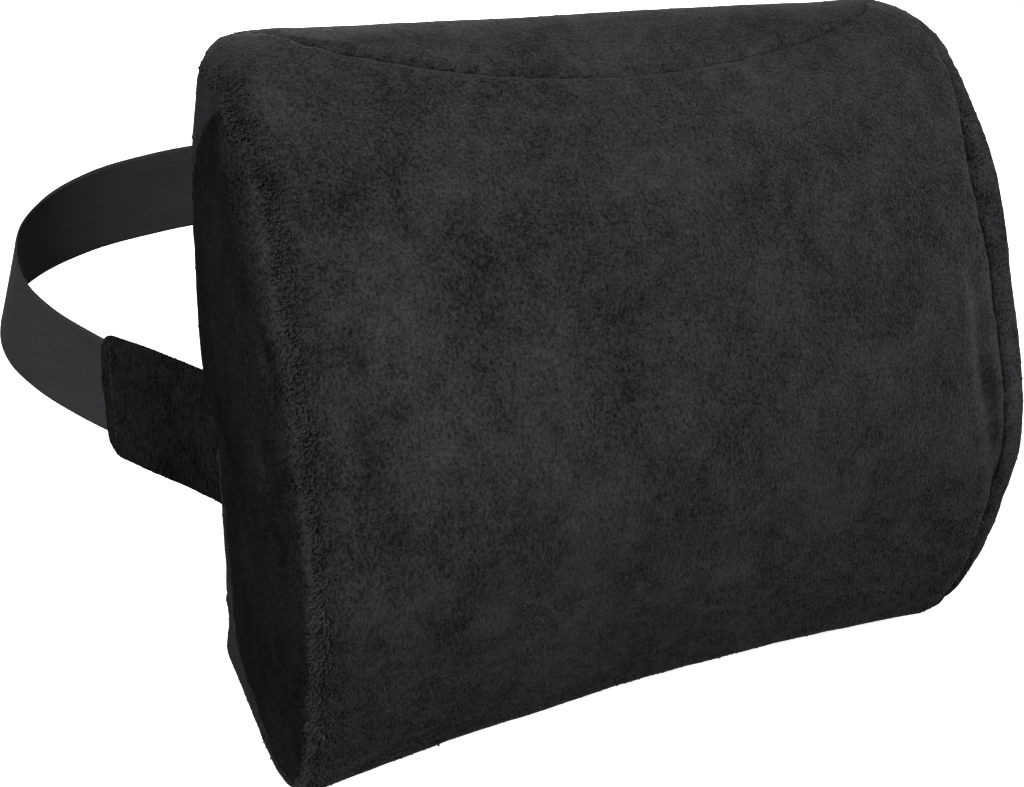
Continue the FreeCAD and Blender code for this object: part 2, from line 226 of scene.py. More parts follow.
def painted_facing_shade(tree, colour, direction, least, most):
    """The colour with painted light and shade: made lighter or darker by how far the surface faces a
    direction.
    """
    facing = put(tree, "TexCoord").outputs["Normal"]
    share = put(tree, "VectorMath", {0: facing, 1: direction}, operation="DOT_PRODUCT")
    level = put(tree, "MapRange", {"Value": share.outputs["Value"],
                                   "From Min": -PAINTED_SHADE_SPAN, "From Max": PAINTED_SHADE_SPAN,
                                   "To Min": least, "To Max": most}).outputs["Result"]
    return put(tree, "VectorMath", {0: colour, "Scale": level}, operation="SCALE").outputs["Vector"]


def velour(name, tone, streak, sheen, gloss=0.08, lean=(1.0, 1.0)):
    """Short brushed pile. streak is the size of a lock of pile along each axis; lean is the least and
    most of the painted light and shade by facing.
    """
    material, tree, place = new_material(name)
    locks = grains(tree, place, streak, 2.0, 0.65)
    specks = grains(tree, place, (0.75, 0.75, 0.9), 1.0, 0.5)
    crush = grains(tree, place, (8.0, 8.0, 11.0), 3.0, 0.6)
    patches = grains(tree, place, (42.0, 42.0, 50.0), 3.0, 0.55)
    mask = weighted(tree, (locks, 0.38), (specks, 0.22), (crush, 0.18), (patches, 0.22))
    dark = [0.0022 * tone, 0.0023 * tone, 0.0025 * tone]
    light = [0.0290 * tone, 0.0295 * tone, 0.0310 * tone]
    colour = between(tree, mask, 0.39, 0.61, dark, light)
    # painted light and shade: the pile is darker where it faces away from the light and lighter where
    # it faces it
    colour = painted_facing_shade(tree, colour, PILE_PAINTED_LIGHT_SIDE, *lean)
    height = weighted(tree, (locks, 0.7), (specks, 0.5), (crush, 0.4))
    shade(tree, colour, height, 1.5, Roughness=0.95, Specular_IOR_Level=gloss,
          Sheen_Weight=sheen, Sheen_Roughness=0.4, Sheen_Tint=(0.80, 0.83, 0.88, 1.0))
    return material


def satin():
    """Woven elastic with a soft gloss, ribbed along its length, with painted light and shade by facing.
    """
    material, tree, place = new_material("satin_elastic")
    ribs = grains(tree, place, (60.0, 60.0, 0.55), 1.0, 0.4)
    weave = grains(tree, place, (0.5, 0.5, 0.4), 1.0, 0.5)
    wear = grains(tree, place, (35.0, 35.0, 20.0), 2.0, 0.5)
    mask = weighted(tree, (ribs, 0.4), (weave, 0.3), (wear, 0.3))
    colour = between(tree, mask, 0.3, 0.7, (0.0105, 0.0108, 0.0115), (0.0195, 0.020, 0.0213))
    # painted light and shade: the elastic is painted dark where it turns away from the front left light
    # and light where it faces it
    colour = painted_facing_shade(tree, colour, SATIN_PAINTED_LIGHT_SIDE, 0.22, 1.20)
    height = weighted(tree, (ribs, 0.6), (weave, 0.5))
    shade(tree, colour, height, 0.08, Roughness=0.50, Specular_IOR_Level=0.11,
          Sheen_Weight=0.01, Sheen_Roughness=0.3, Sheen_Tint=(0.8, 0.84, 0.9, 1.0))
    return material


def knit():
    """Fine pale jersey of the inner liner."""
    material, tree, place = new_material("liner_knit")
    loops = grains(tree, place, (0.9, 0.9, 1.3), 1.0, 0.5)
    patches = grains(tree, place, (25.0, 25.0, 25.0), 2.0, 0.5)
    colour = between(tree, weighted(tree, (loops, 0.6), (patches, 0.4)), 0.3, 0.7,
                     (0.52, 0.52, 0.50), (0.68, 0.68, 0.66))
    shade(tree, colour, loops, 0.3, Roughness=0.85, Specular_IOR_Level=0.2, Sheen_Weight=0.2)
    return material


def foam():
    """Open cell polyurethane foam."""
    material, tree, place = new_material("foam")
    cells = grains(tree, place, (1.1, 1.1, 1.1), 2.0, 0.6)
    patches = grains(tree, place, (30.0, 30.0, 30.0), 2.0, 0.5)
    colour = between(tree, weighted(tree, (cells, 0.6), (patches, 0.4)), 0.3, 0.7,
                     (0.60, 0.55, 0.38), (0.80, 0.75, 0.58))
    shade(tree, colour, cells, 0.8, Roughness=0.9, Specular_IOR_Level=0.2)
    return material


def woven_tape():
    """Dense herringbone of the zip's tapes."""
    material, tree, place = new_material("zip_tape")
    across = put(tree, "TexWave",
                 {"Vector": place, "Scale": 430.0, "Distortion": 1.0, "Detail": 1.0},
                 bands_direction="DIAGONAL").outputs["Fac"]
    threads = grains(tree, place, (0.5, 0.5, 0.5), 1.0, 0.5)
    mask = weighted(tree, (across, 0.5), (threads, 0.5))
    colour = between(tree, mask, 0.2, 0.8, (0.010, 0.010, 0.012), (0.032, 0.032, 0.036))
    shade(tree, colour, mask, 0.2, Roughness=0.75, Specular_IOR_Level=0.25, Sheen_Weight=0.15)
    return material


def nylon():
    """Slightly glossy monofilament of the coils and stops."""
    material, tree, place = new_material("zip_nylon")
    scuffs = grains(tree, place, (1.5, 1.5, 1.5), 2.0, 0.5)
    colour = between(tree, scuffs, 0.3, 0.7, (0.012, 0.012, 0.013), (0.030, 0.030, 0.032))
    shade(tree, colour, scuffs, 0.05, Roughness=0.38, Specular_IOR_Level=0.5)
    return material


def painted_metal():
    """Black lacquered zinc, worn a little."""
    material, tree, place = new_material("zip_metal")
    wear = grains(tree, place, (3.0, 3.0, 3.0), 4.0, 0.6)
    colour = between(tree, wear, 0.35, 0.75, (0.018, 0.018, 0.020), (0.070, 0.070, 0.075))
    shade(tree, colour, wear, 0.04, Roughness=0.32, Metallic=0.75, Specular_IOR_Level=0.5)
    return material


def thread():
    """Twisted polyester sewing thread."""
    material, tree, place = new_material("thread")
    twist = grains(tree, place, (0.35, 0.35, 0.35), 1.0, 0.5)
    colour = between(tree, twist, 0.3, 0.7, (0.006, 0.006, 0.007), (0.022, 0.022, 0.025))
    shade(tree, colour, twist, 0.08, Roughness=0.8, Specular_IOR_Level=0.12)
    return material


FLOOR_BOUNCE = 0.16             # share of the floor's white that lights the object
FLOOR_GLOW = 0.55               # light added to the floor where the camera sees it


def paper_white():
    """The floor: white to the eye, but it lights the object less than white paper would."""
    material, tree, place = new_material("floor_white")
    grain = grains(tree, place, (4.0, 4.0, 4.0), 2.0, 0.5)
    colour = between(tree, grain, 0.2, 0.8, (0.90, 0.90, 0.90), (0.93, 0.93, 0.93))
    seen = put(tree, "LightPath").outputs["Is Camera Ray"]
    given = put(tree, "MapRange", {"Value": seen, "To Min": FLOOR_BOUNCE, "To Max": 1.0})
    colour = put(tree, "VectorMath", {0: colour, "Scale": given.outputs["Result"]},
                 operation="SCALE").outputs["Vector"]
    glow = put(tree, "Math", {0: seen, 1: FLOOR_GLOW}, operation="MULTIPLY").outputs[0]
    shade(tree, colour, grain, 0.01, Roughness=0.9, Specular_IOR_Level=0.1,
          Emission_Color=(1.0, 1.0, 1.0, 1.0), Emission_Strength=glow)
    return material


# ---------------------------------------------------------------- the cushion's surface

VOXEL = 4.0
FOAM_INSET = 3.5                # the CAD foam lies this far inside the cushion's surface
REAR_INSET = 6.2                # and this far at its back
GROWTH = 6.0                    # even growth from the foam out to the cover
SWELL_PRESSURE = 4.0
SWELL_FRAMES = 20
SWELL_CAP = 2.0                 # the most that the simulation moves a point beside the even growth

# How far the left side stands out (+) or is pulled in (-) along its rear edge, by height
LEFT_BULGE = through(((0, 0), (30, -0.3), (62, -0.8), (100, -1.8), (136, -1.2), (156, 1.8),
                      (190, 2.2), (228, 0.9), (260, -1.2), (276, -3.2), (290, -2.0), (298, -0.5)))
BASE_SPREAD = 3.0               # how far the left side stands out at the very base
BASE_SPREAD_TOP = 26.0          # the height at which that ends
TOP_RISE = 1.3                  # how far the cover stands up over the foam's top
BACK_SLACK = 0.3                # how far the flat back stands out past the CAD's rear plane


def remeshed_pad():
    """The foam's shape as an even grid of quads, a little smaller than the finished cushion."""
    pad = linked("pad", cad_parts["foam_core"].data.copy())
    remesh = pad.modifiers.new("remesh", "REMESH")
    remesh.mode = "VOXEL"
    remesh.voxel_size = VOXEL * MM
    ease = pad.modifiers.new("ease", "SMOOTH")
    ease.factor = 0.5
    ease.iterations = 4
    apply_modifiers(pad)
    points = points_of(pad.data)
    points[:, 1] += (REAR_INSET - FOAM_INSET) * smooth(REAR - 30.0, REAR - REAR_INSET, points[:, 1])
    set_points(pad.data, points)
    return pad


def swell(pad):
    """Grows the pad evenly, then adds what a cloth simulation with pressure does to it, up to a cap.

    Most points reach the cap, so the simulation says which way the cover moves there, and the cap
    says how far.
    """
    rest = points_of(pad.data)
    cloth = pad.modifiers.new("swell", "CLOTH")
    cloth.settings.quality = 4
    cloth.settings.use_pressure = True
    cloth.settings.uniform_pressure_force = SWELL_PRESSURE
    cloth.settings.effector_weights.gravity = 0.0
    cloth.collision_settings.use_collision = False
    for step in range(1, SWELL_FRAMES + 1):
        bpy.context.scene.frame_set(step)
    depsgraph = bpy.context.evaluated_depsgraph_get()
    moved = points_of(pad.evaluated_get(depsgraph).data) - rest
    pad.modifiers.clear()
    bpy.context.scene.frame_set(1)
    normals = normals_of(pad.data)
    outward = (moved * normals).sum(axis=1)
    pillow = moved - normals * np.median(outward)
    far = np.linalg.norm(pillow, axis=1)
    pillow *= (SWELL_CAP * np.tanh(far / SWELL_CAP) / np.maximum(far, 1e-6))[:, None]
    set_points(pad.data, rest + normals * GROWTH + pillow)


def settle(points):
    """The cushion as it stands: flat below and behind, its left side drawn in by the strap."""
    points = points.copy()
    x, y, z = points.T
    left = smooth(-HALF_WIDTH * 0.55, -HALF_WIDTH, x)
    rearward = smooth(-60.0, 30.0, y)
    x -= LEFT_BULGE(z) * left * rearward
    x -= BASE_SPREAD * left * (1.0 - smooth(0.0, BASE_SPREAD_TOP, z))
    z += TOP_RISE * smooth(180.0, 296.0, z)
    behind = REAR + BACK_SLACK - y
    y[:] = REAR + BACK_SLACK - 0.5 * (behind + np.sqrt(behind ** 2 + 1.0))
    z[:] = 0.5 * (z + np.sqrt(z ** 2 + 0.3))
    return points


def cushion_pad():
    """The swollen and settled pad that the cover, liner and foam are made from."""
    pad = remeshed_pad()
    swell(pad)
    set_points(pad.data, settle(points_of(pad.data)))
    return pad


# ---------------------------------------------------------------- seams, as fields that are 0 there

# distance of the gusset seams from the cushion's widest line, by height
LEFT_EDGE = through(((0, 4), (60, 4.5), (110, 5), (150, 7), (200, 9), (240, 10), (262, 10.5),
                     (274, 7.5), (284, 4.5), (298, 4)))
RIGHT_EDGE = through(((0, 10), (50, 14), (100, 18), (174, 19), (203, 19.5), (236, 22),
                      (252, 19.5), (270, 14.5), (298, 13)))
# rear edge of the leaf shaped gussets, by height
LEAF_REAR = through(((9, -60), (14, -20), (21, 2), (43, 20.5), (75, 34), (98, 39), (125, 47),
                     (150, 51), (215, 52), (240, 47), (262, 31), (277, 11), (286, -10), (291, -40)))
TOP_SEAM_MIDDLE = 281.6         # height of the curved seam at mid width
TOP_SEAM_RISE = 15.6            # and how much higher it is at its ends
TOP_SEAM_HALF = 132.0
TOP_SEAM_Y = 33.0
BASE_SEAM_Y = -37.0
BASE_SEAM_Z = 14.0              # below this height, the front panel ends at BASE_SEAM_Y
SLOT_FRONT = 30.0               # the zip's slot is cut only behind this


def gusset_field(points, side):
    """Positive on the gusset of that side: -1 left, 1 right."""
    x, y, z = points.T
    edge = LEFT_EDGE(z) if side < 0 else RIGHT_EDGE(z)
    outward = x * side - (HALF_WIDTH - edge)
    slope = (LEAF_REAR(z + 1.0) - LEAF_REAR(z - 1.0)) / 2.0
    inside = (LEAF_REAR(z) - y) / np.sqrt(1.0 + slope ** 2)
    return np.minimum(outward, inside)


def front_field(points):
    """Positive on the front panel."""
    x, y, z = points.T
    seam_z = TOP_SEAM_MIDDLE + TOP_SEAM_RISE * (x / TOP_SEAM_HALF) ** 2
    below_top = (seam_z - z) / np.sqrt(1.0 + (2.0 * TOP_SEAM_RISE * x / TOP_SEAM_HALF ** 2) ** 2)
    before_top = TOP_SEAM_Y + 0.4 * np.maximum(np.abs(x) - TOP_SEAM_HALF, 0.0) - y
    before_base = np.maximum(z - BASE_SEAM_Z, BASE_SEAM_Y - y)
    between_gussets = np.minimum(x + HALF_WIDTH - LEFT_EDGE(z), HALF_WIDTH - RIGHT_EDGE(z) - x)
    return np.minimum.reduce([below_top, before_top, before_base, between_gussets])


def zip_field(points):
    """Positive above the middle line of the zip."""
    return points[:, 2] - ZIP_Z


def slot_field(points):
    """Positive in the slot that shows the zip."""
    x, y, z = points.T
    return np.minimum.reduce([SLOT_HALF - np.abs(x), SLOT_RISE - np.abs(z - ZIP_Z), y - SLOT_FRONT])


def panel_of(points):
    """Which panel each point belongs to, as an index in PANELS, or -1 in the zip's slot."""
    found = np.where(zip_field(points) > 0, 3, 4)
    found[front_field(points) > 0] = 0
    found[gusset_field(points, -1) > 0] = 1
    found[gusset_field(points, 1) > 0] = 2
    found[slot_field(points) > 0] = -1
    return found


def cut_along(bm, field):
    """Cuts the faces of bm along the line on which the field is 0."""
    rest = bm.verts.layers.float_vector.new("rest")
    points = np.array([vertex.co for vertex in bm.verts]) / MM
    for vertex, value in zip(bm.verts, field(points)):
        vertex[rest] = vertex.co
        vertex.co.x = value
    everything = bm.verts[:] + bm.edges[:] + bm.faces[:]
    bmesh.ops.bisect_plane(bm, geom=everything, dist=0.05, plane_co=(0, 0, 0), plane_no=(1, 0, 0))
    for vertex in bm.verts:
        vertex.co = vertex[rest]
    bm.verts.layers.float_vector.remove(rest)


def cut_surface(pad):
    """The cushion's surface with an edge along every seam: its points, normals and faces."""
    surface = linked("surface", pad.data.copy())
    finer = surface.modifiers.new("finer", "SUBSURF")
    finer.levels = 1
    apply_modifiers(surface)
    bm = bmesh.new()
    bm.from_mesh(surface.data)
    for field in (lambda p: gusset_field(p, -1), lambda p: gusset_field(p, 1),
                  front_field, zip_field, slot_field):
        cut_along(bm, field)
    bm.to_mesh(surface.data)
    bm.free()
    mesh = surface.data
    faces = [tuple(polygon.vertices) for polygon in mesh.polygons]
    cut = points_of(mesh), normals_of(mesh), faces
    bpy.data.objects.remove(surface)
    return cut


def rim_samples(points, faces):
    """Closely spaced points along the open edges of a set of faces."""
    seen = {}
    for face in faces:
        for a, b in zip(face, face[1:] + face[:1]):
            key = (min(a, b), max(a, b))
            seen[key] = seen.get(key, 0) + 1
    rim = np.array([edge for edge, times in seen.items() if times == 1])
    starts = points[rim[:, 0]]
    ends = points[rim[:, 1]]
    return np.concatenate([starts + (ends - starts) * share for share in (0.0, 0.25, 0.5, 0.75)])


def distances(points, targets):
    """Distance from each point to the nearest target."""
    tree = KDTree(len(targets))
    for i, target in enumerate(targets):
        tree.insert(target, i)
    tree.balance()
    return np.array([tree.find(point)[2] for point in points])


# ---------------------------------------------------------------- cover panels

COVER_T = 1.4
SEAM_DEPTH = 1.0
SEAM_WIDTH = 1.4
ROLL_RISE = 0.45                # height of the soft roll beside a seam
ROLL_AT = 4.0                   # and its distance from the seam
HEM_DEPTH = 0.45                # how far the cover is drawn in round the zip's slot
HEM_WIDTH = 1.2
PUCKER_RISE = 1.1               # small gathers beside the seams
PUCKER_REACH = 7.0
SWELL_RISE = 0.9                # broad soft lumps
CRUSH_RISE = 0.22               # small dents in the pile
FLOOR_GAP = 0.02                # the cover's lowest point above the base plane


def seam_profile(far):
    """The surface's height at a distance from a seam: a groove with a soft roll beside it."""
    groove = -SEAM_DEPTH * np.exp(-(far / SEAM_WIDTH) ** 2)
    roll = ROLL_RISE * (far / ROLL_AT) * np.exp(1.0 - far / ROLL_AT)
    return groove + roll * smooth(0.0, 2.0, far) - 0.15 * ROLL_RISE


def under_pile(points):
    """1 at the upper corners, where pile hides the seams, and 0 elsewhere."""
    x, _, z = points.T
    return smooth(255.0, 270.0, z) * smooth(138.0, 150.0, np.abs(x))


def near_zip(points):
    """1 close to the zip, 0 away from it."""
    x, y, z = points.T
    along = 1.0 - smooth(SLOT_HALF + 4.0, SLOT_HALF + 14.0, np.abs(x))
    upright = 1.0 - smooth(9.0, 18.0, np.abs(z - ZIP_Z))
    return along * upright * smooth(REAR - 12.0, REAR - 5.0, y)


# soft folds in the cover: the line that each one follows, its depth and its width
FOLDS = (
    (((143, -61, 207), (144, -68, 184), (144, -77, 166), (147, -82, 145), (151, -88, 121),
      (159, -89, 95)), 2.6, 4.0),
    (((-175, -42, 216), (-173, -52, 200), (-173, -60, 186)), 1.8, 4.0),
    (((-172, 14, 284), (-172, -8, 268), (-171, -36, 240)), 0.9, 4.0),
    (((-178, -20, 90), (-178, -8, 50)), 0.9, 6.0),
)


def fold_relief(points, line, depth, width):
    """A soft valley along a line, which fades out at the line's ends."""
    line = np.array(line, float)
    steps = np.linspace(0.0, len(line) - 1.0, 60)
    corners = np.arange(len(line))
    samples = np.stack([np.interp(steps, corners, line[:, axis]) for axis in range(3)], axis=1)
    far = np.linalg.norm(points[:, None, :] - samples[None, :, :], axis=2)
    nearest = far.argmin(axis=1)
    fade = np.sin(math.pi * (nearest + 0.5) / len(samples)) ** 0.6
    return -depth * fade * np.exp(-(far.min(axis=1) / width) ** 2)


def cover_relief(points, rim):
    """Height of the cover's surface over the smooth cushion, in millimetres."""
    zipped = near_zip(points)
    in_slot = ((np.abs(rim[:, 0]) < SLOT_HALF + 1.0) & (np.abs(rim[:, 2] - ZIP_Z) < SLOT_RISE + 1.0)
               & (rim[:, 1] > SLOT_FRONT))
    to_seam = distances(points, rim[~in_slot])
    relief = seam_profile(to_seam) * (1.0 - zipped) * (1.0 - 0.75 * under_pile(points))
    if in_slot.any():
        to_slot = distances(points, rim[in_slot])
        relief -= HEM_DEPTH * np.exp(-(to_slot / HEM_WIDTH) ** 2)
    puckers = clouds(points, 9.0, 1) * np.exp(-to_seam / PUCKER_REACH) * PUCKER_RISE
    for line, depth, width in FOLDS:
        relief += fold_relief(points, line, depth, width)
    swells = clouds(points, 55.0, 2) * SWELL_RISE
    crush = clouds(points, 11.0, 3, (1.0, 1.0, 1.6)) * CRUSH_RISE
    loose = (puckers + swells + crush) * (1.0 - zipped)
    resting = smooth(0.0, 6.0, points[:, 2])
    return relief + loose * resting


def cover_panels(pad, looks):
    """One piece for each panel of the cover, a fabric shell of its own thickness."""
    points, normals, faces = cut_surface(pad)
    middles = np.array([points[list(face)].mean(axis=0) for face in faces])
    labels = panel_of(middles)
    made = {}
    for index, name in enumerate(PANELS):
        own = [faces[i] for i in np.flatnonzero(labels == index)]
        used = sorted({corner for face in own for corner in face})
        at = {old: new for new, old in enumerate(used)}
        local_faces = [tuple(at[corner] for corner in face) for face in own]
        local = points[used]
        rim = rim_samples(local, local_faces)
        local = local + normals[used] * cover_relief(local, rim)[:, None]
        local[:, 2] = np.maximum(local[:, 2], FLOOR_GAP)
        panel = linked("cover_" + name, mesh_from("cover_" + name, local, local_faces))
        made[name] = {"points": local, "normals": normals_of(panel.data), "faces": local_faces}
        cloth = panel.modifiers.new("cloth", "SOLIDIFY")
        cloth.thickness = COVER_T * MM
        cloth.offset = -1.0
        apply_modifiers(panel)
        material, slot = looks[name]
        dress(panel, material, slot)
        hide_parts(name)
    return made


# what lies inside the cover: piece, CAD node, depth under the cushion's surface, thickness (0 is solid)
LAYERS = (
    ("liner", "inner_liner", 2.9, 0.7),
    ("foam", "foam_core", 4.1, 0.0),
)
ZIP_ROOM = 2.2                  # how much deeper they lie behind the zip


def inner_layers(pad, looks):
    """The liner and the foam, which follow the cushion's surface and its folds inside the cover."""
    points = points_of(pad.data)
    normals = normals_of(pad.data)
    zipped = near_zip(points)[:, None]
    folded = sum(fold_relief(points, *fold) for fold in FOLDS)[:, None]
    for name, node, depth, thick in LAYERS:
        mesh = pad.data.copy()
        set_points(mesh, points - normals * (depth + ZIP_ROOM * zipped - folded))
        mesh.shade_smooth()
        layer = linked(name, mesh)
        if thick:
            shell = layer.modifiers.new("shell", "SOLIDIFY")
            shell.thickness = thick * MM
            shell.offset = -1.0
            apply_modifiers(layer)
        material, slot = looks[name]
        dress(layer, material, slot)
        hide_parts(node)


# ---------------------------------------------------------------- strap and tabs

# one side of the loop, from the seam to mid width: the middle of the band, and its width's direction
STRAP_LINE = (
    ((-161, 47, 111), (5, -17, 98)),
    ((-169, 56, 114), (6, -17, 98)),
    ((-182, 71, 119), (10, -16, 98)),
    ((-196, 87, 124), (16, -14, 98)),
    ((-218, 114, 131), (23, -14, 96)),
    ((-234, 139, 137), (27, -17, 95)),
    ((-243, 162, 143), (29, -19, 94)),
    ((-244, 184, 149), (27, -20, 94)),
    ((-238, 204, 157), (23, -19, 95)),
    ((-222, 222, 164), (16, -15, 98)),
    ((-196, 236, 170), (8, -9, 99)),
    ((-158, 246, 174), (0, -2, 100)),
    ((-107, 253, 176), (-4, 4, 100)),
    ((-42, 255, 177), (-3, 7, 100)),
)
STRAP_WIDTH = 46.0
STRAP_T = 1.4
STRAP_STEPS = 560
STRAP_COLUMNS = 47
STRAP_RIB_PITCH = 2.3
TAB_START = 4.0
TAB_LENGTH = 78.5
TAB_WIDTH = 60.0
TAB_T = 5.0
TAB_STEPS = 210
TAB_COLUMNS = 84
TAB_DROP = 4.0                  # the tab's middle below the strap's middle
TAB_ROOT_RISE = 12.0            # how much the tab's upper edge rises towards the seam
TAB_SKEW = 0.28                 # the tab's outer end leans: its upper corner reaches further out
TAB_CORNER = 7.5
TAB_STITCH_INSET = 6.0
TAB_RIB_PITCH = 1.7
TAB_PILE = 0.65                 # height of the pile's ribs on the tab's outer face


def strap_frames():
    """The loop by distance from the left seam: its place, its width's direction, and its length."""
    half = [(np.array(place, float), np.array(across, float)) for place, across in STRAP_LINE]
    flip = np.array([-1.0, 1.0, 1.0])
    stations = half + [(place * flip, across * flip) for place, across in reversed(half)]
    places = np.array([station[0] for station in stations])
    widths = np.array([station[1] / np.linalg.norm(station[1]) for station in stations])
    steps = np.linalg.norm(np.diff(places, axis=0), axis=1)
    along = np.concatenate([[0.0], np.cumsum(steps)])
    place_curves = [through(list(zip(along, places[:, axis]))) for axis in range(3)]
    width_curves = [through(list(zip(along, widths[:, axis]))) for axis in range(3)]

    def place(at):
        return np.stack([curve(at) for curve in place_curves], axis=-1)

    def width(at):
        found = np.stack([curve(at) for curve in width_curves], axis=-1)
        return found / np.linalg.norm(found, axis=-1, keepdims=True)

    return place, width, along[-1]


def band_grid(place, width, stations, offsets):
    """Points and outward normals of a band: a row for each station, a column for each offset."""
    step = 0.5
    ahead = place(stations + step) - place(stations - step)
    across = width(stations)
    out = np.cross(across, ahead)
    out /= np.linalg.norm(out, axis=1, keepdims=True)
    rows = place(stations)[:, None, :] + across[:, None, :] * offsets[..., None]
    return rows, np.broadcast_to(out[:, None, :], rows.shape)


def closed_band(front, back):
    """Points and faces of a closed slab between two grids of the same size."""
    rows, columns = front.shape[:2]
    points = np.concatenate([front.reshape(-1, 3), back.reshape(-1, 3)])
    size = rows * columns

    def at(side, row, column):
        return side * size + row * columns + column

    end = rows - 1
    last = columns - 1
    faces = []
    for r in range(end):
        for c in range(last):
            faces.append((at(0, r, c), at(0, r, c + 1), at(0, r + 1, c + 1), at(0, r + 1, c)))
            faces.append((at(1, r, c), at(1, r + 1, c), at(1, r + 1, c + 1), at(1, r, c + 1)))
    for r in range(end):
        faces.append((at(0, r, 0), at(0, r + 1, 0), at(1, r + 1, 0), at(1, r, 0)))
        faces.append((at(0, r + 1, last), at(0, r, last), at(1, r, last), at(1, r + 1, last)))
    for c in range(last):
        faces.append((at(0, 0, c + 1), at(0, 0, c), at(1, 0, c), at(1, 0, c + 1)))
        faces.append((at(0, end, c), at(0, end, c + 1), at(1, end, c + 1), at(1, end, c)))
    return points, faces


def edge_rounding(offsets, half, radius):
    """1 inside a band, falling to 0 at its edges as a round edge does."""
    t = np.clip((half - np.abs(offsets)) / radius, 0.0, 1.0)
    return np.sqrt(np.maximum(t * (2.0 - t), 0.0))


def make_strap(look):
    """The elastic loop, from one seam to the other."""
    place, width, length = strap_frames()
    stations = np.linspace(3.0, length - 3.0, STRAP_STEPS)
    across = np.linspace(-STRAP_WIDTH / 2, STRAP_WIDTH / 2, STRAP_COLUMNS)
    offsets = np.broadcast_to(across, (len(stations), len(across)))
    rows, out = band_grid(place, width, stations, offsets)
    round_edge = edge_rounding(across, STRAP_WIDTH / 2, 0.9)
    ribs = 0.05 * np.cos(across * 2 * math.pi / STRAP_RIB_PITCH)
    selvedge = 0.12 * np.exp(-((STRAP_WIDTH / 2 - 1.6 - np.abs(across)) / 0.8) ** 2)
    thick = (STRAP_T / 2 * round_edge + ribs + selvedge)[None, :, None]
    points, faces = closed_band(rows + out * thick, rows - out * thick)
    strap = linked("strap_loop", mesh_from("strap_loop", points, faces))
    dress(strap, look, "elastic", None)
    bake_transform(strap)
    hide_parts("elastic_strap")


def make_tab(side, look, thread_look):
    """A velour sleeve round one end of the strap."""
    place, width, _ = strap_frames()
    stations = np.linspace(TAB_START, TAB_LENGTH, TAB_STEPS)
    across = np.linspace(-1.0, 1.0, TAB_COLUMNS)
    from_end = TAB_LENGTH - stations
    half = np.full(len(stations), TAB_WIDTH / 2)
    corner = from_end < TAB_CORNER
    half[corner] -= TAB_CORNER - np.sqrt(TAB_CORNER ** 2 - (TAB_CORNER - from_end[corner]) ** 2)
    offsets = across[None, :] * half[:, None]
    rise = TAB_ROOT_RISE * (from_end / TAB_LENGTH)[:, None] * smooth(-1.0, 1.0, across)[None, :]
    rows, out = band_grid(place, width, stations, offsets + rise - TAB_DROP)
    ahead = unit(place(stations + 0.5) - place(stations - 0.5))
    skew = TAB_SKEW * offsets * (1.0 - from_end / TAB_LENGTH)[:, None]
    rows = rows + ahead[:, None, :] * skew[..., None]
    lift = np.sqrt(np.maximum(1.0 - np.abs(across[None, :]) ** 5, 0.0))
    end_lift = 0.62 + 0.38 * smooth(0.0, 7.0, from_end)
    root_lift = 0.55 + 0.45 * smooth(0.0, 18.0, stations)
    thick = TAB_T / 2 * lift * (end_lift * root_lift)[:, None]
    flat = rows.reshape(-1, 3)
    along = np.repeat(stations, len(across))
    laid_flat = np.stack([along, offsets.ravel(), np.zeros(offsets.size)], axis=1)
    turns = along / TAB_RIB_PITCH + 0.7 * clouds(laid_flat, 4.0, 7, (1.0, 2.0, 1.0))
    ribs = np.cos(2.0 * math.pi * turns) * (0.6 + 0.8 * clouds(laid_flat, 2.5, 8, (1.0, 2.0, 1.0)))
    locks = (0.55 * ribs + 0.6 * clouds(laid_flat, 1.5, 5, (1.0, 3.5, 1.0))).reshape(thick.shape)
    wave = clouds(flat, 14.0, 6).reshape(thick.shape)
    inner_face = rows - out * (thick + 0.10 * locks)[..., None]
    outer_face = rows + out * (thick + TAB_PILE * locks + 0.35 * wave)[..., None]
    points, faces = closed_band(outer_face, inner_face)
    mirror = np.array([side * -1.0, 1.0, 1.0])
    if side > 0:
        points = points * mirror
        faces = [face[::-1] for face in faces]
    name = "tab_left" if side < 0 else "tab_right"
    tab = linked(name, mesh_from(name, points, faces))
    dress(tab, look, "velour", None)
    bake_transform(tab)
    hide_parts("strap_tab_left" if side < 0 else "strap_tab_right")
    row = int(np.argmin(np.abs(from_end - TAB_STITCH_INSET)))
    columns = np.flatnonzero(np.abs(offsets[row] - TAB_DROP) < STRAP_WIDTH / 2 - 1.0)[::5]
    places = outer_face[row, columns] * mirror
    ups = out[row, columns] * mirror
    stitches = make_stitches("stitches_" + name, places, ups, 2.6, 0.6, thread_look,
                             ("cushion", "strap"))
    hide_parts("tab_stitches_left" if side < 0 else "tab_stitches_right")


# ---------------------------------------------------------------- pile, stitches and coils

def unit(vectors):
    """The vectors, each with a length of 1."""
    return vectors / np.maximum(np.linalg.norm(vectors, axis=-1, keepdims=True), 1e-9)


def tubes(paths, radii, ups, sides=5, flat=1.0):
    """Points and faces of closed tubes, one along each path. ups holds a direction across each path."""
    count, steps = paths.shape[:2]
    along = unit(np.gradient(paths, axis=1))
    side = unit(np.cross(along, ups[:, None, :]))
    over = np.cross(side, along)
    turns = 2.0 * math.pi * np.arange(sides) / sides
    ring = (np.cos(turns)[:, None] * side[:, :, None, :]
            + flat * np.sin(turns)[:, None] * over[:, :, None, :])
    points = paths[:, :, None, :] + ring * radii[:, :, None, None]
    index = np.arange(count * steps * sides).reshape(count, steps, sides)
    low, high = index[:, :-1], index[:, 1:]
    walls = np.stack([low, high, np.roll(high, -1, axis=2), np.roll(low, -1, axis=2)], axis=-1)
    faces = walls.reshape(-1, 4).tolist() + index[:, 0].tolist() + index[:, -1, ::-1].tolist()
    return points.reshape(-1, 3), faces


PILE_FLOOR = 0.15               # no lock of pile comes closer to the base plane


